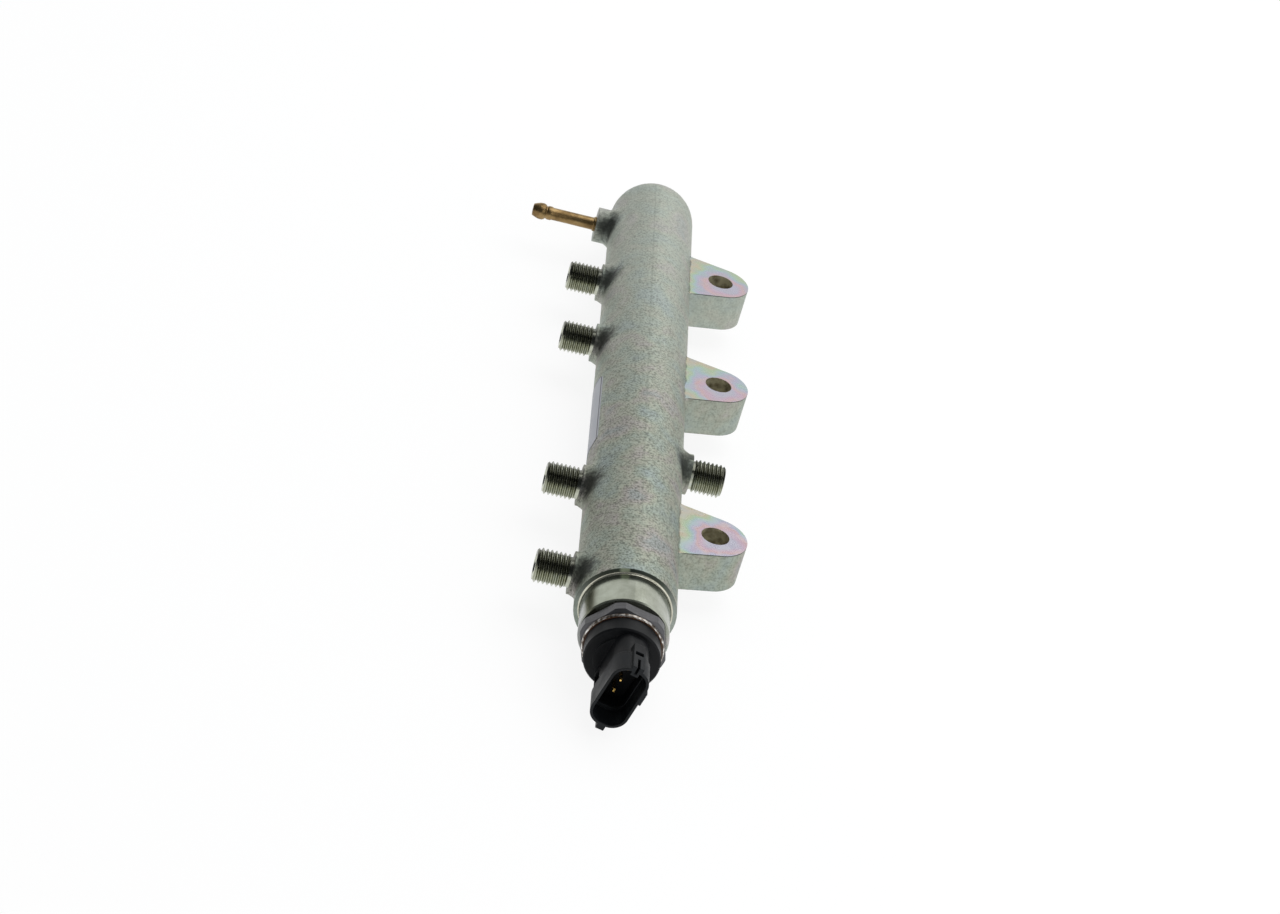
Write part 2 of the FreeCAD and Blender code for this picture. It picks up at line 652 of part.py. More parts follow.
def build_connector_housing():
    """The moulded plug: a round cap, and a flat shroud about the pins with its latch and keys."""
    body = new_body("connector_housing", roll=S.sensor_roll_angle)
    cavity_y = hexagon_front_y - S.housing_cavity_depth
    cap = [
        (ZERO, housing_front_y), (S.housing_radius - S.housing_edge, housing_front_y),
        (S.housing_radius, housing_front_y + S.housing_edge), (S.housing_radius, hexagon_front_y),
        (S.housing_cavity_radius, hexagon_front_y), (S.housing_cavity_radius, cavity_y),
        (ZERO, cavity_y),
    ]
    turn(body, "cap", cap)
    pedestal_y = housing_front_y - S.pedestal_height
    turn(body, "pedestal", rectangle(ZERO, S.pedestal_radius, pedestal_y, housing_front_y))

    at_cap = (ZERO, ZERO, -housing_front_y)
    at_block_end = (ZERO, ZERO, -housing_front_y + S.block_length)
    points, arcs = rounded_rectangle(S.block_half_width, S.block_half_length, S.block_corner)
    extrude(body, "block", points, S.block_length, arcs, shift=at_cap)
    points, arcs = rounded_rectangle(S.shroud_half_width, S.shroud_half_length, S.shroud_corner)
    extrude(body, "shroud", points, S.shroud_length, arcs, shift=at_block_end)

    latch_top = S.shroud_half_length + S.latch_height
    latch_root = S.block_half_length - S.shroud_wall
    latch_shift = (ZERO, ZERO, -rim_y - S.latch_length)
    latch = rectangle(-S.latch_half_width, S.latch_half_width, latch_root, latch_top)
    extrude(body, "latch", latch, S.latch_length, shift=latch_shift)
    foot_bottom = -(S.shroud_half_length + S.foot_height)
    foot = rectangle(-S.foot_half_width, S.foot_half_width, foot_bottom, -S.block_half_length)
    extrude(body, "foot", foot, S.foot_length, shift=(ZERO, ZERO, -rim_y - S.foot_length))
    rib = rectangle(S.block_half_width, S.shroud_half_width + S.side_rib_height,
                    S.side_rib_start, S.side_rib_start + S.side_rib_length)
    extrude(body, "side_rib", rib, S.foot_length, shift=(ZERO, ZERO, -rim_y - S.foot_length))

    wall = S.shroud_wall
    points, arcs = rounded_rectangle(
        S.shroud_half_width - wall, S.shroud_half_length - wall, S.shroud_corner - wall)
    socket_shift = (ZERO, ZERO, -rim_y - S.socket_depth)
    inner, inner_arcs = rounded_rectangle(
        S.block_half_width - wall, S.block_half_length - wall, S.block_corner - wall)
    extrude(body, "socket", inner, S.socket_depth, inner_arcs, cut=True, shift=socket_shift)
    mouth_depth = S.shroud_length - wall
    extrude(body, "socket_mouth", points, mouth_depth, arcs, cut=True,
            shift=(ZERO, ZERO, -rim_y - mouth_depth))

    key_top = S.shroud_half_length - wall
    key = rectangle(-S.key_half_width, S.key_half_width, key_top - S.key_height,
                    S.shroud_half_length)
    extrude(body, "key", key, S.shroud_length, shift=at_block_end)
    groove = rectangle(-S.key_groove_half_width, S.key_groove_half_width,
                       key_top - S.key_height / 2, latch_top)
    groove_length = S.shroud_length / 2
    extrude(body, "key_groove", groove, groove_length, cut=True,
            shift=(ZERO, ZERO, -rim_y - groove_length))
    slot = rectangle(-S.latch_slot_half_width, S.latch_slot_half_width,
                     S.shroud_half_length - wall / 2, latch_top)
    extrude(body, "latch_slot", slot, S.latch_slot_depth, cut=True,
            shift=(ZERO, ZERO, -rim_y - S.latch_slot_offset - S.latch_slot_depth))

    notch = rectangle(-S.shroud_half_width, S.notch_depth - S.block_half_width,
                      -(S.notch_start + S.notch_length), -S.notch_start)
    extrude(body, "notch", notch, S.notch_axial_length, cut=True,
            shift=(ZERO, ZERO, -housing_front_y + S.notch_axial_start))
    floor_y = rim_y + S.socket_depth
    for number, place in enumerate(pin_places(), 1):
        slot = rectangle(-S.pin_half_thickness, S.pin_half_thickness,
                         place - S.pin_half_width, place + S.pin_half_width)
        extrude(body, f"pin_passage_{number}", slot, cavity_y - floor_y, cut=True,
                shift=(ZERO, ZERO, -cavity_y))
    return body


def build_contact_pin(number, place):
    """One flat gold-plated pin, soldered into the board and pointed at its free end."""
    body = new_body(f"contact_pin_{number}", roll=S.sensor_roll_angle)
    tip_y = rim_y + S.pin_recess
    blade_end_y = tip_y + S.pin_tip_taper
    half, tip_half = S.pin_half_width, S.pin_half_width - S.pin_tip_taper
    side = [
        (board_back_y, place - half), (board_back_y, place + half),
        (blade_end_y, place + half), (tip_y, place + tip_half),
        (tip_y, place - tip_half), (blade_end_y, place - half),
    ]
    extrude(body, "blade", side, S.pin_half_thickness * 2, plane="YZ_Plane",
            shift=(ZERO, ZERO, -S.pin_half_thickness))
    return body


pieces = [
    build_rail_body(), build_return_nipple(), build_return_throttle(), build_label(),
    build_sensor_port(), build_sensing_element(), build_board_carrier(), build_circuit_board(),
    build_crimp_ring(), build_sealing_ring(), build_connector_housing(),
]
pieces += [build_contact_pin(number, place) for number, place in enumerate(pin_places(), 1)]

document.recompute()
for part in document.Objects:
    if "Invalid" in part.State or "Error" in part.State:
        raise RuntimeError(f"{part.Label} failed: {part.State}")
for piece in pieces:
    if piece.Shape.isNull() or not piece.Shape.isValid() or len(piece.Shape.Solids) != 1:
        raise RuntimeError(f"{piece.Label} is not one sound solid")

os.makedirs("parts", exist_ok=True)
for piece in pieces:
    piece.Shape.exportStep(f"parts/{piece.Label}.step")
    print(f"{piece.Label}: {piece.Shape.Volume / 1000:.2f} cm3")
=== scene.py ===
import math

import bmesh
import bpy
import numpy as np
from mathutils import Matrix, Vector


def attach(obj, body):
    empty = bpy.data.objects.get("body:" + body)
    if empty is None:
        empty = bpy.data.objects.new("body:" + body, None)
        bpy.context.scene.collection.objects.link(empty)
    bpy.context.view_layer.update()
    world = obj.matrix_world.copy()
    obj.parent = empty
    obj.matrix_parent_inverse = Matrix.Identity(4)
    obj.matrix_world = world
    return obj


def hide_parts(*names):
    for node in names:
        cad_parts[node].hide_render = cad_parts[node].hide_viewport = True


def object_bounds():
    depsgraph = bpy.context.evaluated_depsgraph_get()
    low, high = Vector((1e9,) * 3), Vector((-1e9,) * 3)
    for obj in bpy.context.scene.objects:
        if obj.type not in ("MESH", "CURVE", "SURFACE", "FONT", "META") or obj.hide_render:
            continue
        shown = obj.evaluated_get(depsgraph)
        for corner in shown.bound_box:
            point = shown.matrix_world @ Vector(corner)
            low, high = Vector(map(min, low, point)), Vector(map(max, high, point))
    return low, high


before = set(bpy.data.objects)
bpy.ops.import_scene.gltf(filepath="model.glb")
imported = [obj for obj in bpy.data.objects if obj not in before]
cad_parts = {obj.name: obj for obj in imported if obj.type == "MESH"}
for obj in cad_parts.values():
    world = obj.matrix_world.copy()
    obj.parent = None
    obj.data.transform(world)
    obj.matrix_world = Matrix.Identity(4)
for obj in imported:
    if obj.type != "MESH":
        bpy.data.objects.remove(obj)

cad_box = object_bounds()
MM = 0.001


# The photographer's camera, solved from the photograph: a long lens that looks down along the rail
# from its sensor end. Turn, tilt and roll are in degrees, the place in millimetres.
CAMERA_PLACE = (-131.23, -899.75, 532.84)
CAMERA_TURN, CAMERA_TILT, CAMERA_ROLL = -6.954, 31.224, 16.884
LENS, SENSOR_WIDTH = 80.25, 36.0


def camera_axes(turn, tilt, roll):
    """The camera's right, up and back directions: turned about Z, tilted down, then rolled."""
    turn, tilt, roll = (math.radians(angle) for angle in (turn, tilt, roll))
    back = Vector((math.sin(turn) * math.cos(tilt), -math.cos(turn) * math.cos(tilt), math.sin(tilt)))
    level_right = Vector((math.cos(turn), math.sin(turn), 0))
    level_up = back.cross(level_right)
    right = math.cos(roll) * level_right + math.sin(roll) * level_up
    up = math.cos(roll) * level_up - math.sin(roll) * level_right
    return right, up, back


lens = bpy.data.cameras.new("camera")
lens.lens = LENS
lens.sensor_width = SENSOR_WIDTH
lens.clip_start = 0.01
camera = bpy.data.objects.new("camera", lens)
right, up, back = camera_axes(CAMERA_TURN, CAMERA_TILT, CAMERA_ROLL)
camera.matrix_world = Matrix((
    (right.x, up.x, back.x, CAMERA_PLACE[0] * MM),
    (right.y, up.y, back.y, CAMERA_PLACE[1] * MM),
    (right.z, up.z, back.z, CAMERA_PLACE[2] * MM),
    (0, 0, 0, 1)))
bpy.context.scene.collection.objects.link(camera)
bpy.context.scene.camera = camera
bpy.context.scene.view_settings.view_transform = "Standard"


# The studio: a pale floor under the rail, a white surround, and two soft lamps. Metal mirrors a
# white table and horizon with a dim ceiling above, as in a room where only the set is lit.
def linear(red, green, blue):
    """A screen colour, 0 to 255, as the linear colour that a material takes."""
    shares = (np.array([red, green, blue]) / 255 + 0.055) / 1.055
    return (*np.power(shares, 2.4), 1.0)


class Nodes:
    """A node tree with short ways to add the nodes that the finishes here are mixed from."""

    def __init__(self, tree):
        self.tree = tree

    def add(self, kind, *values, **settings):
        """A node of a kind: settings are its own properties, values fill its inputs in order."""
        node = self.tree.nodes.new(kind)
        for name, value in settings.items():
            setattr(node, name, value)
        for socket, value in zip(node.inputs, values):
            self.feed(socket, value)
        return node

    def feed(self, socket, value):
        """Links an output to a socket, or sets the socket to a plain value. None leaves it."""
        if isinstance(value, bpy.types.NodeSocket):
            self.tree.links.new(value, socket)
        elif value is not None:
            socket.default_value = value

    def math(self, operation, *values):
        """One step of arithmetic on outputs and plain values."""
        return self.add("ShaderNodeMath", *values, operation=operation).outputs[0]

    def blend(self, share, first, second, how="MIX"):
        """Two colours mixed by a share."""
        node = self.add("ShaderNodeMix", data_type="RGBA", blend_type=how)
        for name, value in (("Factor_Float", share), ("A_Color", first), ("B_Color", second)):
            self.feed(next(one for one in node.inputs if one.identifier == name), value)
        return next(one for one in node.outputs if one.identifier == "Result_Color")

    def between(self, value, low, high, start=0.0, end=1.0):
        """A value carried smoothly from start to end while it goes from low to high."""
        node = self.add("ShaderNodeMapRange", value, low, high, start, end)
        node.interpolation_type = "SMOOTHSTEP"
        return node.outputs[0]

    def ramp(self, value, stops):
        """The colour that a value has on a ramp of (place, colour) stops."""
        node = self.add("ShaderNodeValToRGB", value)
        marks = node.color_ramp.elements
        while len(marks) < len(stops):
            marks.new(0.5)
        for mark, (place, colour) in zip(marks, stops):
            mark.position = place
            mark.color = colour
        return node.outputs[0]


WHITE = (1.0, 1.0, 1.0, 1.0)
SOFT_GREY = (0.62, 0.63, 0.64, 1.0)
DIM_CEILING = (0.05, 0.055, 0.06, 1.0)
CEILING_START, CEILING_END = -0.04, 0.12
WINDOW_START, WINDOW_FADE = 0.55, 0.2
WINDOW_TOP, WINDOW_TOP_FADE = 0.5, 0.3

world = bpy.data.worlds.new("studio")
bpy.context.scene.world = world
world.use_nodes = True
sky = Nodes(world.node_tree)
background = world.node_tree.nodes["Background"]
path = sky.add("ShaderNodeLightPath").outputs
direction = sky.add("ShaderNodeSeparateXYZ", sky.add("ShaderNodeTexCoord").outputs["Generated"])
window = sky.math(
    "MULTIPLY", sky.between(direction.outputs["Y"], WINDOW_START, WINDOW_START + WINDOW_FADE),
    sky.between(direction.outputs["Z"], WINDOW_TOP, WINDOW_TOP + WINDOW_TOP_FADE, 1.0, 0.0))
ceiling = sky.math("MULTIPLY", sky.between(direction.outputs["Z"], CEILING_START, CEILING_END),
                   sky.math("SUBTRACT", 1.0, window))
mirrored = sky.math("MAXIMUM", path["Is Glossy Ray"], path["Is Transmission Ray"])
surround = sky.blend(mirrored, SOFT_GREY, sky.blend(ceiling, WHITE, DIM_CEILING))
sky.feed(background.inputs["Color"], sky.blend(path["Is Camera Ray"], surround, WHITE))

FLOOR_HALF = 1.6
FLOOR_DROP = 0.0003
FLOOR_GREY = (0.9, 0.9, 0.9, 1.0)
FLOOR_GLOW = 0.87
floor_height = cad_box[0][2] - FLOOR_DROP
corners = [(-FLOOR_HALF, -FLOOR_HALF), (FLOOR_HALF, -FLOOR_HALF), (FLOOR_HALF, FLOOR_HALF),
           (-FLOOR_HALF, FLOOR_HALF)]
floor_mesh = bpy.data.meshes.new("floor")
floor_mesh.from_pydata([(x, y, floor_height) for x, y in corners], [], [(0, 1, 2, 3)])
floor = bpy.data.objects.new("floor", floor_mesh)
bpy.context.scene.collection.objects.link(floor)

floor_paint = bpy.data.materials.new("floor_paint")
floor_paint.use_nodes = True
paint = Nodes(floor_paint.node_tree)
path = paint.add("ShaderNodeLightPath").outputs
seen = paint.math("MAXIMUM", path["Is Camera Ray"], path["Is Glossy Ray"])
seen = paint.math("MAXIMUM", seen, path["Is Transmission Ray"])
glow = paint.add("ShaderNodeEmission", WHITE, 1.0).outputs[0]
matt = paint.add("ShaderNodeBsdfDiffuse", FLOOR_GREY).outputs[0]
mixed = paint.add("ShaderNodeMixShader", paint.math("MULTIPLY", seen, FLOOR_GLOW), matt, glow).outputs[0]
paint.feed(floor_paint.node_tree.nodes["Material Output"].inputs["Surface"], mixed)
floor_mesh.materials.append(floor_paint)


def soft_lamp(name, place, target, width, power):
    """A square soft box that points from its place to a target, both in metres."""
    light = bpy.data.lights.new(name, "AREA")
    light.shape = "SQUARE"
    light.size = width
    light.energy = power
    lamp = bpy.data.objects.new(name, light)
    aim = Vector(target) - Vector(place)
    lamp.matrix_world = Matrix.Translation(place) @ aim.to_track_quat("-Z", "Y").to_matrix().to_4x4()
    bpy.context.scene.collection.objects.link(lamp)


soft_lamp("key_lamp", (0.40, 0.36, 1.15), (0, 0.06, 0), 1.3, 10.5)
soft_lamp("fill_lamp", (0.9, -0.9, 0.40), (0, 0.10, 0), 1.3, 6.0)


# The rail body is one drop-forged steel bar with its lugs and bosses, blasted all over and zinc
# plated with a pale passivation. Lug faces, shoulder, collar and holes are machined bright.
AXIS_X, AXIS_Z = -28.0 * MM, 7.5 * MM
SHOULDER_Y = -135.75 * MM
BARREL_RADIUS = 17.0 * MM
COLLAR_RADIUS = 14.9 * MM
FILLET = 0.8 * MM
LUG_PLACES = (-90.75 * MM, 10.75 * MM, 90.75 * MM)
LUG_TOP = 15.0 * MM
HOLE_RADIUS = 5.3 * MM
OUTLET_PLACES = tuple(SHOULDER_Y + y * MM for y in (15.0, 69.0, 169.0, 216.5))
OUTLET_FACE, OUTLET_END = AXIS_X - 19.0 * MM, AXIS_X - 31.4 * MM
INLET_PLACE = SHOULDER_Y + 92.2 * MM
INLET_FACE, INLET_END = AXIS_X + 19.8 * MM, AXIS_X + 32.0 * MM
NIPPLE_Y = SHOULDER_Y + 264.0 * MM
THREAD_RADIUS = 5.95 * MM
CORE_RADIUS = 5.03 * MM


class Finish(Nodes):
    """A surface finish: one shader and the nodes that feed it, laid out on object coordinates."""

    def __init__(self, name, colour, roughness, metallic=0.0):
        self.material = bpy.data.materials.new(name)
        self.material.use_nodes = True
        super().__init__(self.material.node_tree)
        self.shader = self.tree.nodes["Principled BSDF"]
        self.set("Base Color", colour)
        self.set("Roughness", roughness)
        self.set("Metallic", metallic)
        self.place = self.add("ShaderNodeTexCoord").outputs["Object"]

    def set(self, socket, value):
        """Feeds one input of the shader."""
        self.feed(self.shader.inputs[socket], value)

    def coordinates(self):
        """The three coordinates of a place on the piece, each as an output."""
        return self.add("ShaderNodeSeparateXYZ", self.place).outputs[:3]

    def noise(self, size, detail=2.0, place=None):
        """Cloudy noise whose patches measure about size, in metres."""
        node = self.add("ShaderNodeTexNoise")
        self.feed(node.inputs["Vector"], place or self.place)
        self.feed(node.inputs["Scale"], 1 / size)
        self.feed(node.inputs["Detail"], detail)
        return node.outputs[0]

    def bump(self, height, depth, below=None):
        """The normal of a surface raised by a height from 0 to 1 times depth, in metres."""
        node = self.add("ShaderNodeBump")
        self.feed(node.inputs["Strength"], 1.0)
        self.feed(node.inputs["Distance"], depth)
        self.feed(node.inputs["Height"], height)
        self.feed(node.inputs["Normal"], below)
        return node.outputs[0]

    def about_axis(self):
        """How far a place lies beside, above and out from the rail's axis, each as an output."""
        x, y, z = self.coordinates()
        side = self.math("SUBTRACT", x, AXIS_X)
        rise = self.math("SUBTRACT", z, AXIS_Z)
        squared = self.math("MULTIPLY_ADD", side, side, self.math("MULTIPLY", rise, rise))
        return side, rise, self.math("SQRT", squared)

    def nearest(self, places):
        """How far each point is from the nearest of some places."""
        spans = [self.add("ShaderNodeVectorMath", self.place, place, operation="DISTANCE").outputs[1]
                 for place in places]
        shortest = spans[0]
        for span in spans[1:]:
            shortest = self.math("MINIMUM", shortest, span)
        return shortest


def blasted_zinc():
    """Grey-green plated steel with a shot-blasted grain and faint cloudy tints; painted shade at the boss
    roots and under the lug tops' edge, and painted light paling it toward the far end.
    """
    grey = linear(164, 170, 158)
    finish = Finish("blasted_zinc", grey, 0.5, 0.7)
    tint = finish.noise(14 * MM, 3.0)
    cloud = finish.ramp(tint, [
        (0.30, linear(160, 172, 168)), (0.43, linear(166, 175, 162)), (0.53, linear(172, 175, 160)),
        (0.62, linear(175, 171, 165)), (0.72, linear(164, 169, 166))])
    grain = finish.noise(0.75 * MM, 3.0)
    coarse = finish.noise(2.4 * MM, 2.0)
    speckle = finish.ramp(grain, [(0.36, linear(156, 156, 156)), (0.50, linear(232, 232, 232)),
                                  (0.64, WHITE)])
    x, y, z = finish.coordinates()
    coarseness = finish.between(x, AXIS_X + 14 * MM, AXIS_X + 18 * MM, 0.85, 0.45)
    colour = finish.blend(coarseness, cloud, speckle, "MULTIPLY")
    colour = finish.blend(finish.between(coarse, 0.5, 0.75, 0.0, 0.2), colour, linear(126, 130, 114))
    # Painted light: paler toward the far end, where the lamps fall more strongly.
    painted_far_light = finish.between(y, SHOULDER_Y + 40 * MM, SHOULDER_Y + 290 * MM, 0.0, 0.34)
    colour = finish.blend(painted_far_light, colour, linear(206, 212, 204))

    # Painted shade: a dark ragged blotch at each boss root, standing for the boss's shade and the dim ceiling
    # that its front mirrors.
    roots = [(OUTLET_FACE + 3.8 * MM, boss_y - 7.0 * MM, AXIS_Z + 5.8 * MM) for boss_y in OUTLET_PLACES]
    roots.append((INLET_FACE - 4.2 * MM, INLET_PLACE - 5.4 * MM, AXIS_Z + 6.0 * MM))
    roots.append((AXIS_X - 17.4 * MM, NIPPLE_Y - 6.4 * MM, AXIS_Z + 3.0 * MM))
    ragged = finish.math("MULTIPLY_ADD", finish.noise(1.6 * MM, 4.0), 7 * MM, finish.nearest(roots))
    painted_root_shade = finish.between(ragged, 5.8 * MM, 12.6 * MM, 0.9, 0.0)
    colour = finish.blend(painted_root_shade, colour, linear(44, 47, 42))

    along = finish.math("MULTIPLY_ADD", y, 0.0098, 0.0098 * -SHOULDER_Y - AXIS_X - 0.5 * MM)
    across = finish.math("ABSOLUTE", finish.math("ADD", x, along))
    wander = finish.math("MULTIPLY_ADD", finish.noise(9 * MM), 0.6 * MM, across)
    on_top = finish.between(z, AXIS_Z + 14 * MM, AXIS_Z + 16 * MM)
    parting = finish.math("MULTIPLY", finish.between(wander, 0.35 * MM, 0.85 * MM, 0.22, 0.0), on_top)
    colour = finish.blend(parting, colour, linear(118, 126, 116))
    # Painted shade: a thin dark line just under the lug tops' edge.
    painted_edge_shade = finish.math("MULTIPLY", finish.between(z, LUG_TOP - 0.45 * MM, LUG_TOP - 0.3 * MM),
                       finish.between(x, AXIS_X + 16 * MM, AXIS_X + 18 * MM, 0.0, 0.8))
    colour = finish.blend(painted_edge_shade, colour, linear(60, 64, 60))
    finish.set("Base Color", colour)
    finish.set("Roughness", finish.between(coarse, 0.3, 0.7, 0.5, 0.64))
    rounded = finish.add("ShaderNodeBevel", 0.5 * MM, samples=6).outputs[0]
    dents = finish.bump(coarse, 0.10 * MM, rounded)
    finish.set("Normal", finish.bump(grain, 0.14 * MM, dents))
    return finish.material


def milled_face():
    """Milled steel under the same plating, where the thin film shows rings of pink, lavender, teal
    and straw about each bolt hole."""
    finish = Finish("milled_face", WHITE, 0.26, 0.85)
    centres = [(1.5 * MM, lug_y - 2.5 * MM, LUG_TOP) for lug_y in LUG_PLACES]
    wander = finish.math("MULTIPLY_ADD", finish.noise(11 * MM, 2.0), 24 * MM, finish.nearest(centres))
    share = finish.math("DIVIDE", wander, 36 * MM)
    film = finish.ramp(share, [
        (0.38, linear(178, 176, 191)), (0.47, linear(191, 168, 183)), (0.56, linear(197, 170, 172)),
        (0.63, linear(176, 174, 193)), (0.69, linear(164, 185, 187)), (0.76, linear(170, 189, 160)),
        (0.84, linear(189, 180, 158)), (0.93, linear(168, 181, 178))])
    cloud = finish.noise(4 * MM, 2.0)
    colour = finish.blend(finish.between(cloud, 0.4, 0.7, 0.0, 0.4), film, linear(178, 180, 182))
    # Painted shade: darker in the inner corner where the milled top meets the barrel.
    radius = finish.about_axis()[2]
    corner = finish.math("MULTIPLY_ADD", finish.noise(5 * MM, 1.0), -1.6 * MM, radius)
    colour = finish.blend(finish.between(corner, 16.3 * MM, 16.75 * MM, 0.6, 0.0), colour, linear(50, 54, 52))
    finish.set("Base Color", colour)
    finish.set("Roughness", finish.between(cloud, 0.3, 0.7, 0.2, 0.34))
    stretch = finish.add("ShaderNodeVectorMath", finish.place, (1.0, 0.08, 1.0), operation="MULTIPLY")
    cutter = finish.noise(0.4 * MM, 1.0, stretch.outputs[0])
    finish.set("Normal", finish.bump(cutter, 0.002 * MM))
    return finish.material


def turned_steel(name, colour, roughness, groove):
    """Steel turned on a lathe about the rail's axis: fine rings, and a gloss drawn out round them."""
    finish = Finish(name, colour, roughness, 0.9)
    y = finish.coordinates()[1]
    side, rise, radius = finish.about_axis()
    ring_place = finish.add("ShaderNodeCombineXYZ", radius, y, 0.0).outputs[0]
    rings = finish.noise(0.2 * MM, 1.0, ring_place)
    stain = finish.noise(6 * MM, 3.0)
    shade = finish.ramp(rings, [(0.3, linear(190, 190, 190)), (0.6, WHITE)])
    tone = finish.blend(1.0, colour, shade, "MULTIPLY")
    darker = tuple(part * 0.55 for part in colour[:3]) + (1.0,)
    finish.set("Base Color", finish.blend(finish.between(stain, 0.5, 0.75, 0.0, 0.5), tone, darker))
    finish.set("Normal", finish.bump(rings, groove))
    around = finish.add("ShaderNodeCombineXYZ", finish.math("MULTIPLY", rise, -1.0), 0.0, side)
    finish.set("Anisotropic", 0.6)
    finish.set("Tangent", around.outputs[0])
    return finish


def turned_collar():
    """The turned collar and shoulder, pale and glossy, with painted reflections: light and dark bands
    along the turning, the shoulder's face dark but for a bright streak on top, a painted reflection
    of that dark face on the collar's root and a painted highlight in the fillet."""
    finish = turned_steel("turned_collar", linear(176, 180, 166), 0.24, 0.001 * MM)
    y = finish.coordinates()[1]
    side, rise, radius = finish.about_axis()
    from_top = finish.math("ARCTAN2", side, rise)
    turn = finish.math("MULTIPLY_ADD", from_top, 0.5 / math.pi, 0.5325)
    # Painted reflections by the angle round the axis: the shoulder's face dark with a bright streak near the
    # top, the collar's side in light and dark bands.
    painted_face_reflection = finish.ramp(turn, [
        (0.24, linear(164, 174, 164)), (0.34, linear(104, 110, 102)), (0.42, linear(72, 77, 70)),
        (0.474, linear(66, 72, 64)), (0.483, linear(158, 168, 144)), (0.505, linear(158, 168, 144)),
        (0.512, linear(54, 60, 56)), (0.62, linear(74, 82, 74)), (0.76, linear(164, 172, 164))])
    painted_side_reflection = finish.ramp(turn, [
        (0.29, linear(150, 152, 150)), (0.32, linear(166, 168, 164)), (0.35, linear(120, 122, 104)),
        (0.375, linear(116, 118, 102)), (0.40, linear(168, 174, 160)), (0.60, linear(170, 174, 161)),
        (0.72, linear(168, 172, 162)), (0.76, linear(190, 186, 184)), (0.80, linear(154, 166, 156))])
    on_face = finish.between(radius, 15.5 * MM, 15.75 * MM)
    # Painted reflection of the dark shoulder face on the collar's root, then a painted highlight in the
    # fillet.
    painted_root_reflection = finish.between(y, SHOULDER_Y - 4.2 * MM, SHOULDER_Y - 0.9 * MM, 0.0, 0.75)
    painted_side_reflection = finish.blend(painted_root_reflection, painted_side_reflection, painted_face_reflection)
    painted_fillet_highlight = finish.between(y, SHOULDER_Y - 0.8 * MM, SHOULDER_Y - 0.7 * MM)
    painted_side_reflection = finish.blend(painted_fillet_highlight, painted_side_reflection, linear(214, 212, 196))
    tone = finish.blend(on_face, painted_side_reflection, painted_face_reflection)
    cloud = finish.ramp(finish.noise(4 * MM, 3.0), [(0.3, linear(226, 226, 222)), (0.65, WHITE)])
    finish.set("Base Color", finish.blend(1.0, tone, cloud, "MULTIPLY"))
    finish.set("Metallic", finish.math("MULTIPLY_ADD", on_face, -0.6, 0.9))
    return finish


def drilled_wall():
    """The wall of a drilled hole: darker, with fine feed marks up the hole."""
    finish = Finish("drilled_wall", linear(96, 92, 74), 0.45, 0.5)
    stretch = finish.add("ShaderNodeVectorMath", finish.place, (0.1, 0.1, 1.0), operation="MULTIPLY")
    marks = finish.noise(0.3 * MM, 2.0, stretch.outputs[0])
    stain = finish.noise(3 * MM, 3.0)
    finish.set("Base Color", finish.ramp(stain, [
        (0.35, linear(120, 112, 88)), (0.6, linear(184, 178, 150))]))
    finish.set("Normal", finish.bump(marks, 0.03 * MM))
    return finish.material


def joined_copy(node, name, shade):
    """A copy of a solid's mesh with the corners of its loose triangles joined: equal places become
    one vertex. A triangle left with one corner twice has no area and is dropped, because the normals
    can't be set on it. The exact surface normals are kept but for what shade changes. Gives the
    piece, its vertices and its triangles."""
    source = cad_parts[node].data
    places = np.empty(len(source.vertices) * 3)
    source.vertices.foreach_get("co", places)
    corners = np.empty(len(source.loops), dtype=int)
    source.loops.foreach_get("vertex_index", corners)
    normals = np.empty(len(source.loops) * 3)
    source.corner_normals.foreach_get("vector", normals)
    joined, index = np.unique(places.reshape(-1, 3).round(7), axis=0, return_inverse=True)
    triangles = index.ravel()[corners].reshape(-1, 3)
    whole = np.all(triangles != np.roll(triangles, 1, axis=1), axis=1)
    triangles = triangles[whole]
    normals = normals.reshape(-1, 3, 3)[whole]
    shade(normals, joined[triangles])
    mesh = bpy.data.meshes.new(name)
    mesh.from_pydata(joined, [], triangles.tolist())
    mesh.shade_smooth()
    mesh.normals_split_custom_set(normals.reshape(-1, 3))
    piece = bpy.data.objects.new(name, mesh)
    bpy.context.scene.collection.objects.link(piece)
    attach(piece, "root")
    return piece, joined, triangles


def round_shoulder(normals, corners):
    """Shades the narrow cone at the collar's root as the hollow fillet that it stands for: the
    normal swings from the shoulder's direction to the collar's own along it."""
    spoke = corners[:, :, (0, 2)] - (AXIS_X, AXIS_Z)
    radius = np.hypot(spoke[..., 0], spoke[..., 1])
    back = (SHOULDER_Y - corners[..., 1]) / FILLET
    on_cone = np.all((back > -0.01) & (back < 1.01) & (radius < COLLAR_RADIUS + FILLET * 1.01)
                     & (radius > COLLAR_RADIUS * 0.999), axis=1)
    swing = np.clip(back[on_cone], 0, 1) * math.pi / 2
    outward = spoke[on_cone] / radius[on_cone][..., None]
    normals[on_cone] = np.stack([outward[..., 0] * np.sin(swing), -np.cos(swing),
                                 outward[..., 1] * np.sin(swing)], -1)


def slim_studs(vertices):
    """Draws each stud's vertices in to the thread's core, so that the cut thread can lie over it."""
    studs = [(y, vertices[:, 0] < OUTLET_FACE - 0.3 * MM) for y in OUTLET_PLACES]
    studs.append((INLET_PLACE, vertices[:, 0] > INLET_FACE + 0.3 * MM))
    for stud_y, beyond in studs:
        across = vertices[:, 1:] - (stud_y, AXIS_Z)
        radius = np.hypot(across[:, 0], across[:, 1])
        chosen = beyond & (radius > CORE_RADIUS) & (radius < THREAD_RADIUS + 0.1 * MM)
        share = CORE_RADIUS / radius[chosen]
        vertices[chosen, 1:] = (stud_y, AXIS_Z) + across[chosen] * share[:, None]


BLASTED, MILLED, TURNED, DRILLED, STUD = range(5)


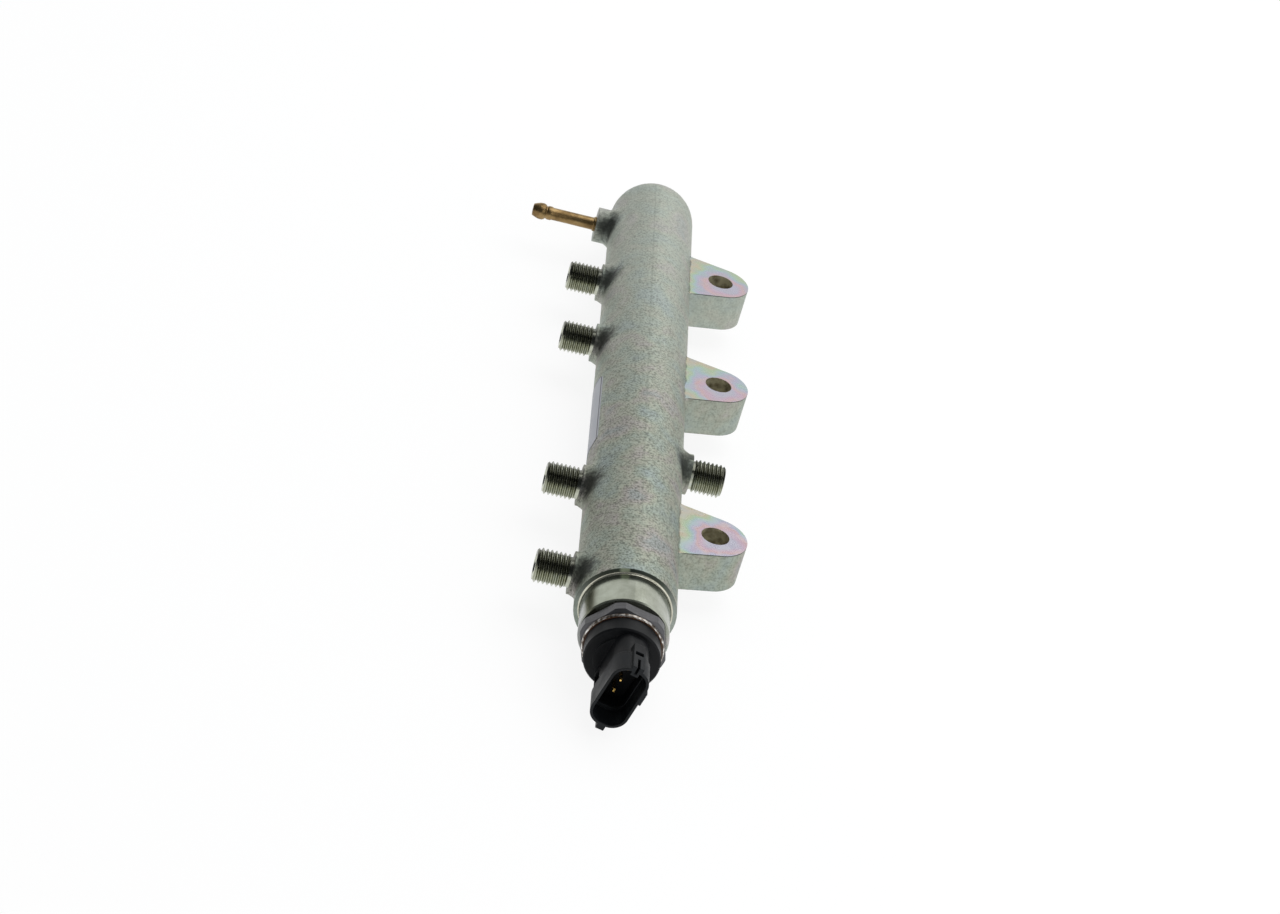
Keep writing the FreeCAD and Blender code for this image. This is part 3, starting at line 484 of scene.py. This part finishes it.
def paint_rail(vertices, triangles):
    """The finish of each triangle by where it lies and which way it faces."""
    corners = vertices[triangles]
    middle = corners.mean(axis=1)
    cross = np.cross(corners[:, 1] - corners[:, 0], corners[:, 2] - corners[:, 0])
    facing = cross / np.maximum(np.linalg.norm(cross, axis=1, keepdims=True), 1e-15)
    finish = np.full(len(triangles), BLASTED)
    beside = middle[:, 0] > AXIS_X + 14 * MM
    flat = beside & (np.abs(facing[:, 2]) > 0.999) & (np.abs(middle[:, 2] - AXIS_Z) > 7.4 * MM)
    finish[flat] = MILLED
    finish[middle[:, 1] < SHOULDER_Y + 0.01 * MM] = TURNED
    for lug_y in LUG_PLACES:
        inside = np.hypot(middle[:, 0], middle[:, 1] - lug_y) < HOLE_RADIUS
        finish[inside & ~flat] = DRILLED
    away = np.hypot(middle[:, 0] - AXIS_X, middle[:, 2] - AXIS_Z)
    in_bore = (away < 9.5 * MM) & (np.abs(facing[:, 1]) < 0.9) & (middle[:, 1] < NIPPLE_Y + 11 * MM)
    finish[in_bore] = DRILLED
    for stud_y, beyond in [(y, middle[:, 0] < OUTLET_FACE - 0.01 * MM) for y in OUTLET_PLACES] + [
            (INLET_PLACE, middle[:, 0] > INLET_FACE + 0.01 * MM)]:
        finish[beyond & (np.hypot(middle[:, 1] - stud_y, middle[:, 2] - AXIS_Z) < 6.2 * MM)] = STUD
    return finish


def stud_steel(name, from_height):
    """Plated thread and relief, with painted shade over the thread's upper front. Where a thread gives
    its own height, from 0 in the groove to 1 on the crest, painted shade makes the flanks darker and
    leaves the crest bright."""
    finish = Finish(name, linear(150, 154, 140), 0.24, 1.0)
    z = finish.coordinates()[2]
    stain = finish.noise(2.5 * MM, 3.0)
    tone = finish.ramp(stain, [
        (0.3, linear(168, 170, 154)), (0.55, linear(194, 197, 182)), (0.75, linear(186, 192, 186))])
    # Painted shade: a dark reflection painted over the thread's upper front, fading out just under the top.
    shade = finish.math("MULTIPLY", finish.between(z, AXIS_Z + 0.2 * MM, AXIS_Z + 3.6 * MM, 0.0, 0.74),
                        finish.between(z, AXIS_Z + 5.4 * MM, AXIS_Z + 5.95 * MM, 1.0, 0.0))
    if from_height:
        # Painted shade: flanks darker than crest and groove, the light and dark lines of a lit thread.
        height = finish.add("ShaderNodeAttribute", attribute_name="height").outputs["Fac"]
        painted_flank_shade = finish.ramp(height, [(0.0, linear(250, 250, 240)), (0.25, linear(180, 180, 170)),
                                    (0.55, linear(214, 214, 204)), (0.9, WHITE)])
        tone = finish.blend(1.0, tone, painted_flank_shade, "MULTIPLY")
    finish.set("Base Color", finish.blend(shade, tone, linear(62, 62, 54)))
    finish.set("Roughness", finish.between(stain, 0.3, 0.7, 0.22, 0.3))
    finish.set("Normal", finish.bump(finish.noise(0.4 * MM, 2.0), 0.003 * MM))
    return finish.material


rail, rail_vertices, rail_triangles = joined_copy("rail_body", "rail_forging", round_shoulder)
rail_finish = paint_rail(rail_vertices, rail_triangles)
slim_studs(rail_vertices)
rail.data.vertices.foreach_set("co", rail_vertices.ravel())
rail_zinc = blasted_zinc()
collar_steel = turned_collar()
thread_steel = stud_steel("thread_steel", True)
for finish in (rail_zinc, milled_face(), collar_steel.material, drilled_wall(),
               stud_steel("stud_steel", False)):
    rail.data.materials.append(finish)
rail.data.polygons.foreach_set("material_index", rail_finish)
rail.data.update()
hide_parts("rail_body")


# Every boss runs into the barrel in a hollow curve, as the die leaves it. The curve is a thin closed
# skirt about the boss's drafted root, of the same blasted steel.
DRAFT = math.tan(math.radians(22.0))
DRAFT_START = 18.2 * MM
SKIRT_STEPS, SKIRT_ROWS = 96, 8


def add_mesh(name, vertices, faces, sharp_angle=None, heights=None):
    """A piece on the rail from arrays of vertices and faces. Doubles are joined, faces with no area
    dropped and the rest turned outwards. Heights, if any, are kept as an attribute."""
    mesh = bpy.data.meshes.new(name)
    shape = bmesh.new()
    if heights is not None:
        layer = shape.verts.layers.float.new("height")
    corners = [shape.verts.new(place) for place in vertices.tolist()]
    if heights is not None:
        for corner, height in zip(corners, heights.tolist()):
            corner[layer] = height
    for face in faces.tolist():
        shape.faces.new([corners[index] for index in dict.fromkeys(face)])
    bmesh.ops.remove_doubles(shape, verts=shape.verts, dist=2e-7)
    bmesh.ops.dissolve_degenerate(shape, edges=shape.edges, dist=1e-7)
    bmesh.ops.recalc_face_normals(shape, faces=shape.faces)
    shape.to_mesh(mesh)
    shape.free()
    mesh.shade_smooth()
    if sharp_angle is not None:
        mesh.set_sharp_from_angle(angle=math.radians(sharp_angle))
    piece = bpy.data.objects.new(name, mesh)
    bpy.context.scene.collection.objects.link(piece)
    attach(piece, "root")
    return piece


def boss_skirt(name, side, boss_y, boss_radius, rise, reach):
    """A quadratic curve in the plane of each spoke: from the drafted wall, rise above the corner
    where wall and barrel meet, by that corner to the barrel, reach beyond it. The corner's radius
    r solves r = boss_radius + (start of the draft - height of the barrel at r) * draft."""
    angle = np.arange(SKIRT_STEPS) / SKIRT_STEPS * math.tau

    def barrel_height(radius):
        return np.sqrt(BARREL_RADIUS ** 2 - (radius * np.sin(angle)) ** 2)

    corner = np.full(SKIRT_STEPS, boss_radius)
    for _ in range(8):
        corner = boss_radius + (DRAFT_START - barrel_height(corner)) * DRAFT
    low = barrel_height(corner)
    wall_height = low + rise
    wall = boss_radius + np.maximum(DRAFT_START - wall_height, 0) * DRAFT
    foot = corner + reach
    sunk = 0.02 * MM
    share = np.linspace(0, 1, SKIRT_ROWS)[None, :]
    weights = ((1 - share) ** 2, 2 * share * (1 - share), share ** 2)
    radius = sum(weight * place[:, None] for weight, place in zip(weights, (wall - sunk, corner, foot)))
    height = sum(weight * place[:, None]
                 for weight, place in zip(weights, (wall_height, low, barrel_height(foot) - sunk)))
    inside = 0.8 * MM
    radius = np.hstack([radius, (corner - inside)[:, None]])
    height = np.hstack([height, (low - inside)[:, None]])
    places = np.stack([AXIS_X + side * height, boss_y + radius * np.cos(angle)[:, None],
                       AXIS_Z + radius * np.sin(angle)[:, None]], -1)
    index = np.arange(radius.size).reshape(radius.shape)
    turned, along = np.roll(index, -1, 0), np.roll(index, -1, 1)
    faces = np.stack([index, turned, np.roll(turned, -1, 1), along], -1).reshape(-1, 4)
    piece = add_mesh(name, places.reshape(-1, 3), faces, 60)
    piece.data.materials.append(rail_zinc)


for number, boss_y in enumerate(OUTLET_PLACES, 1):
    boss_skirt(f"outlet_{number}_root", -1, boss_y, 7.3 * MM, 1.4 * MM, 2.4 * MM)
boss_skirt("inlet_root", 1, INLET_PLACE, 7.3 * MM, 1.8 * MM, 2.4 * MM)
boss_skirt("return_root", -1, NIPPLE_Y, 7.0 * MM, 2.2 * MM, 2.4 * MM)


# Each stud carries a rolled thread, twelve millimetres across with a pitch of one and a half, from
# its relief to the chamfer at its end. The thread is a closed sleeve over the stud's core.
THREAD_PITCH = 1.5 * MM
THREAD_DEPTH = 0.90 * MM
RELIEF_LENGTH = 1.1 * MM
END_CHAMFER = 0.9 * MM
RUN_OUT = 0.5 * MM
SLEEVE_INSIDE = 4.7 * MM
THREAD_STEPS = 72
THREAD_PROFILE = np.array([0.0, 0.06, 0.20, 0.36, 0.50, 0.56, 0.70, 0.86])
THREAD_HEIGHTS = np.array([1.0, 1.0, 0.62, 0.16, 0.0, 0.0, 0.22, 0.70])


def thread_sleeve(name, side, stud_y, face_x, end_x):
    """Follows the helix: column i is a step of the turn, row j a step of the profile, and the way
    along the stud is (row / rows per turn + share of the turn) pitches. Both ends are cut square by
    holding that way between start and end, and the radius stays under the run-out and the chamfer.
    """
    start, end = RELIEF_LENGTH, abs(end_x - face_x) - 0.02 * MM
    per_turn = len(THREAD_PROFILE)
    turns = math.ceil((end - start) / THREAD_PITCH) + 2
    turn = np.arange(THREAD_STEPS)[:, None] / THREAD_STEPS
    row = np.arange(turns * per_turn + 1)[None, :]
    share = THREAD_PROFILE[row % per_turn] + row // per_turn
    way = np.clip(start + THREAD_PITCH * (share + turn - 1), start, end)
    height = np.broadcast_to(THREAD_HEIGHTS[row % per_turn], way.shape)
    radius = THREAD_RADIUS - THREAD_DEPTH * (1 - height)
    cap = np.minimum(CORE_RADIUS - 0.1 * MM + (way - start) / RUN_OUT * 1.1 * MM,
                     THREAD_RADIUS - END_CHAMFER + (end - way))
    radius = np.minimum(radius, cap)
    height = np.clip((radius - THREAD_RADIUS) / THREAD_DEPTH + 1, 0, 1)
    way = np.concatenate([np.full((THREAD_STEPS, 1), start), way, np.full((THREAD_STEPS, 1), end)], 1)
    inside = np.full((THREAD_STEPS, 1), SLEEVE_INSIDE)
    radius = np.concatenate([inside, radius, inside], 1)
    height = np.concatenate([inside * 0, height, inside * 0 + 1], 1)
    angle = np.broadcast_to(turn * math.tau, way.shape)
    places = np.stack([face_x + side * way, stud_y + radius * np.cos(angle) * side,
                       AXIS_Z + radius * np.sin(angle)], -1)
    rows = way.shape[1]
    index = np.arange(THREAD_STEPS * rows).reshape(THREAD_STEPS, rows)
    shifted = np.minimum(np.arange(rows) + per_turn, rows - 2)
    shifted[0], shifted[-1] = 0, rows - 1
    following = np.vstack([index[1:], index[0][shifted]])
    faces = np.stack([index[:, :-1], following[:, :-1], following[:, 1:], index[:, 1:]], -1).reshape(-1, 4)
    closing = np.stack([index[:, -1], following[:, -1], following[:, 0], index[:, 0]], -1)
    piece = add_mesh(name, places.reshape(-1, 3), np.vstack([faces, closing]), 50, height.ravel())
    piece.data.materials.append(thread_steel)


for number, stud_y in enumerate(OUTLET_PLACES, 1):
    thread_sleeve(f"outlet_{number}_thread", -1, stud_y, OUTLET_FACE, OUTLET_END)
thread_sleeve("inlet_thread", 1, INLET_PLACE, INLET_FACE, INLET_END)


# The return nipple is turned from brass bar and pressed into its boss: a plain tube with a small
# collar at the boss, a bead that stops the hose and a bulb that holds it. It has tarnished.
NIPPLE_OUTLINE = [
    (14.7, 1.5), (14.7, 2.5), (22.6, 2.5), (22.7, 2.9), (23.5, 2.95), (23.9, 2.55), (32.0, 2.5),
    (40.6, 2.5), (41.0, 2.75), (41.4, 2.8), (42.3, 2.8), (42.7, 2.7), (43.0, 2.5), (43.3, 2.55),
    (43.7, 3.0), (44.3, 3.3), (45.2, 3.35), (46.2, 3.25), (47.4, 2.85), (48.4, 2.45), (48.7, 2.2),
    (48.7, 1.6), (48.5, 1.5),
]


def lathe(name, outline, axis, start, steps, sharp_angle=35):
    """A closed outline of (way along the axis, radius) pairs in millimetres turned about an axis:
    column i is the outline rotated by i / steps of a turn. axis is the unit direction of the way
    and start the place where the way is zero."""
    outline = np.array(outline) * MM
    axis = np.array(axis, dtype=float)
    side = np.cross(axis, (0, 0, 1.0)) if abs(axis[2]) < 0.9 else np.array((1.0, 0, 0))
    lift = np.cross(side, axis)
    angle = np.arange(steps)[:, None, None] / steps * math.tau
    spoke = np.cos(angle) * side + np.sin(angle) * lift
    places = np.array(start) + outline[None, :, :1] * axis + outline[None, :, 1:] * spoke
    count = len(outline)
    index = np.arange(steps * count).reshape(steps, count)
    turned, along = np.roll(index, -1, 0), np.roll(index, -1, 1)
    both = np.roll(turned, -1, 1)
    faces = np.stack([index, turned, both, along], -1).reshape(-1, 4)
    return add_mesh(name, places.reshape(-1, 3), faces, sharp_angle)


def tarnished_brass():
    """Golden brass, browner in cloudy patches, with fine lathe rings along the tube."""
    finish = Finish("tarnished_brass", linear(172, 142, 88), 0.3, 1.0)
    x = finish.coordinates()[0]
    stain = finish.noise(4 * MM, 3.0)
    finish.set("Base Color", finish.ramp(stain, [
        (0.3, linear(116, 94, 62)), (0.5, linear(146, 121, 82)), (0.7, linear(166, 143, 102))]))
    finish.set("Roughness", finish.between(stain, 0.3, 0.7, 0.44, 0.32))
    rings = finish.noise(0.25 * MM, 1.0, finish.add("ShaderNodeCombineXYZ", x, 0.0, 0.0).outputs[0])
    finish.set("Normal", finish.bump(rings, 0.002 * MM))
    return finish.material


nipple = lathe("brass_nipple", NIPPLE_OUTLINE, (-1, 0, 0), (AXIS_X, NIPPLE_Y, AXIS_Z), 48)
nipple.data.materials.append(tarnished_brass())
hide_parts("return_nipple")


# The label is a thin printed film stuck round the barrel's side. It is left blank, a pale grey
# field with the thin dark rule that runs round such labels.
LABEL_MIDDLE_Y = SHOULDER_Y + 112.4 * MM
LABEL_HALF_LENGTH = 22.9 * MM
LABEL_MIDDLE_ANGLE = math.radians(154.5 + 33.5)
LABEL_HALF_WRAP = math.radians(33.5)


def label_film():
    """A satin film with a dark rule near its edge, found from the way along the rail and the arc
    round it, and a faint mottle."""
    finish = Finish("label_film", linear(160, 163, 170), 0.38)
    y = finish.coordinates()[1]
    side, rise, _ = finish.about_axis()
    turned_side = finish.math("MULTIPLY", side, -1.0)
    turned_rise = finish.math("MULTIPLY", rise, -1.0)
    angle = finish.math("ARCTAN2", turned_rise, turned_side)
    arc = finish.math("ABSOLUTE", finish.math("SUBTRACT", angle, LABEL_MIDDLE_ANGLE - math.pi))
    over_arc = finish.math("MULTIPLY", finish.math("SUBTRACT", arc, LABEL_HALF_WRAP), BARREL_RADIUS)
    along = finish.math("ABSOLUTE", finish.math("SUBTRACT", y, LABEL_MIDDLE_Y))
    over_along = finish.math("SUBTRACT", along, LABEL_HALF_LENGTH)
    inset = finish.math("MAXIMUM", over_arc, over_along)
    rule = finish.math("MULTIPLY", finish.between(inset, -1.1 * MM, -1.0 * MM),
                       finish.between(inset, -0.5 * MM, -0.4 * MM, 1.0, 0.0))
    mottle = finish.noise(5 * MM, 3.0)
    field = finish.ramp(mottle, [(0.3, linear(142, 145, 153)), (0.7, linear(158, 161, 169))])
    finish.set("Base Color", finish.blend(rule, field, linear(50, 48, 60)))
    finish.set("Roughness", finish.between(mottle, 0.3, 0.7, 0.34, 0.46))
    finish.set("Normal", finish.bump(finish.noise(1.2 * MM, 2.0), 0.01 * MM))
    return finish.material


def refinish(node, material):
    """Gives a solid that stays as it is a better material."""
    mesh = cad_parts[node].data
    mesh.materials.clear()
    mesh.materials.append(material)


refinish("label", label_film())


# The sensor's port is turned from stainless bar and screwed into the rail's open end. Its hexagon
# is milled, with the corners turned down, and is dark with a satin sheen.
def port_steel():
    """Dark satin steel with turning rings and faint wear."""
    return turned_steel("port_steel", linear(92, 92, 94), 0.34, 0.003 * MM).material


refinish("sensor_port", port_steel())


# The crimp ring is the port's thin lip, rolled over the foot of the plug housing by hand-fed
# rollers, so its bright edge wavers. A brown bead of sealant shows inside it.
SENSOR_AXIS = (AXIS_X, SHOULDER_Y, AXIS_Z)
HEXAGON_FRONT = 20.2
CRIMP_OUTLINE = [
    (HEXAGON_FRONT - 0.05, 12.85), (HEXAGON_FRONT - 0.05, 13.35), (HEXAGON_FRONT + 0.5, 13.38),
    (HEXAGON_FRONT + 0.85, 13.3), (HEXAGON_FRONT + 1.05, 13.1), (HEXAGON_FRONT + 1.1, 12.95),
    (HEXAGON_FRONT + 1.0, 12.82),
]


def waver(piece, depth):
    """Moves each vertex in and out along its spoke by a sum of sines of its angle."""
    mesh = piece.data
    places = np.empty(len(mesh.vertices) * 3)
    mesh.vertices.foreach_get("co", places)
    places = places.reshape(-1, 3)
    spoke = places[:, (0, 2)] - (AXIS_X, AXIS_Z)
    angle = np.arctan2(spoke[:, 1], spoke[:, 0])
    wave = np.sin(7 * angle) + 0.7 * np.sin(17 * angle + 1) + 0.5 * np.sin(41 * angle + 2)
    front = np.clip((SHOULDER_Y - HEXAGON_FRONT * MM - places[:, 1]) / (1.1 * MM), 0, 1)
    places[:, (0, 2)] += spoke / np.linalg.norm(spoke, axis=1, keepdims=True) * (
        depth * wave * front)[:, None]
    mesh.vertices.foreach_set("co", places.ravel())
    mesh.update()


def rolled_lip():
    """Bright steel smeared by the roller: short streaks round the ring, some of them dull."""
    finish = Finish("rolled_lip", linear(205, 205, 200), 0.22, 1.0)
    streak = finish.noise(1.6 * MM, 4.0)
    finish.set("Base Color", finish.ramp(streak, [
        (0.34, linear(96, 86, 76)), (0.47, linear(150, 142, 134)), (0.62, linear(232, 230, 226))]))
    finish.set("Roughness", finish.between(streak, 0.3, 0.7, 0.5, 0.3))
    finish.set("Normal", finish.bump(finish.noise(0.7 * MM, 3.0), 0.08 * MM))
    return finish.material


def sealant():
    """Brown cured sealant, slightly glossy."""
    finish = Finish("sealant", linear(92, 60, 38), 0.4)
    lumps = finish.noise(1.5 * MM, 2.0)
    finish.set("Base Color", finish.ramp(lumps, [(0.3, linear(70, 44, 28)), (0.7, linear(112, 76, 50))]))
    finish.set("Normal", finish.bump(lumps, 0.08 * MM))
    return finish.material


crimp = lathe("crimp_lip", CRIMP_OUTLINE, (0, -1, 0), SENSOR_AXIS, 160, 60)
waver(crimp, 0.05 * MM)
crimp.data.materials.append(rolled_lip())
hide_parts("crimp_ring")
refinish("sealing_ring", sealant())


# The plug housing is one black glass-filled nylon moulding: a round cap over the electronics and a
# flat shroud round the contacts, with a latch ramp, a key and small feet.
SHROUD_START_Y = SHOULDER_Y - 38.3 * MM


def moulded_nylon():
    """Black plastic with a fine mould grain, a little greyer on the shroud than on the block behind
    it: painted light on the shroud and painted shade on the block.
    """
    finish = Finish("moulded_nylon", linear(30, 31, 33), 0.42)
    finish.set("Specular IOR Level", 0.16)
    cloud = finish.noise(5 * MM, 3.0)
    grain = finish.noise(0.35 * MM, 2.0)
    y = finish.coordinates()[1]
    # Painted light and shade: the shroud a little greyer, as lit, and the block behind it darker, as shaded.
    on_shroud = finish.between(y, SHROUD_START_Y - 0.3 * MM, SHROUD_START_Y, 1.0, 0.0)
    painted_lit_shroud = finish.ramp(cloud, [(0.35, linear(18, 20, 22)), (0.7, linear(27, 30, 33))])
    painted_shaded_block = finish.ramp(cloud, [(0.35, linear(12, 13, 15)), (0.7, linear(18, 20, 22))])
    finish.set("Base Color", finish.blend(on_shroud, painted_shaded_block, painted_lit_shroud))
    finish.set("Roughness", finish.between(cloud, 0.3, 0.7, 0.4, 0.52))
    rounded = finish.add("ShaderNodeBevel", 0.35 * MM, samples=6).outputs[0]
    finish.set("Normal", finish.bump(grain, 0.012 * MM, rounded))
    return finish.material


nylon = moulded_nylon()
refinish("connector_housing", nylon)


# Three flat contacts stand in the shroud, stamped from brass strip, gold plated and soldered into
# the board behind it. Element, carrier and board sit out of sight under the cap.
def gold_plating():
    """Bright gold plate, duller where the mating contact has rubbed it."""
    finish = Finish("gold_plating", linear(226, 184, 98), 0.2, 1.0)
    wear = finish.noise(0.8 * MM, 3.0)
    finish.set("Base Color", finish.ramp(wear, [(0.3, linear(206, 160, 80)), (0.7, linear(240, 204, 122))]))
    finish.set("Roughness", finish.between(wear, 0.3, 0.7, 0.3, 0.16))
    finish.set("Normal", finish.bump(wear, 0.004 * MM))
    return finish.material


def plain_steel(name, tone):
    """Machined steel with faint cloudy shading."""
    finish = Finish(name, tone, 0.3, 0.9)
    cloud = finish.noise(1.2 * MM, 3.0)
    finish.set("Roughness", finish.between(cloud, 0.3, 0.7, 0.22, 0.38))
    shade = finish.ramp(cloud, [(0.3, linear(200, 200, 200)), (0.7, WHITE)])
    finish.set("Base Color", finish.blend(1.0, tone, shade, "MULTIPLY"))
    finish.set("Normal", finish.bump(cloud, 0.006 * MM))
    return finish.material


def board_laminate():
    """Green lacquered glass laminate with the weave just showing through."""
    finish = Finish("board_laminate", linear(38, 92, 58), 0.35)
    weave = finish.add("ShaderNodeTexWave", None, 1 / (0.6 * MM)).outputs[1]
    finish.set("Base Color", finish.blend(weave, linear(30, 80, 50), linear(48, 104, 66)))
    finish.set("Normal", finish.bump(weave, 0.005 * MM))
    return finish.material


plating = gold_plating()
for number in (1, 2, 3):
    refinish(f"contact_pin_{number}", plating)
refinish("return_throttle", plain_steel("throttle_steel", linear(168, 168, 164)))
refinish("sensing_element", plain_steel("cup_steel", linear(196, 196, 194)))
refinish("board_carrier", nylon)
refinish("circuit_board", board_laminate())
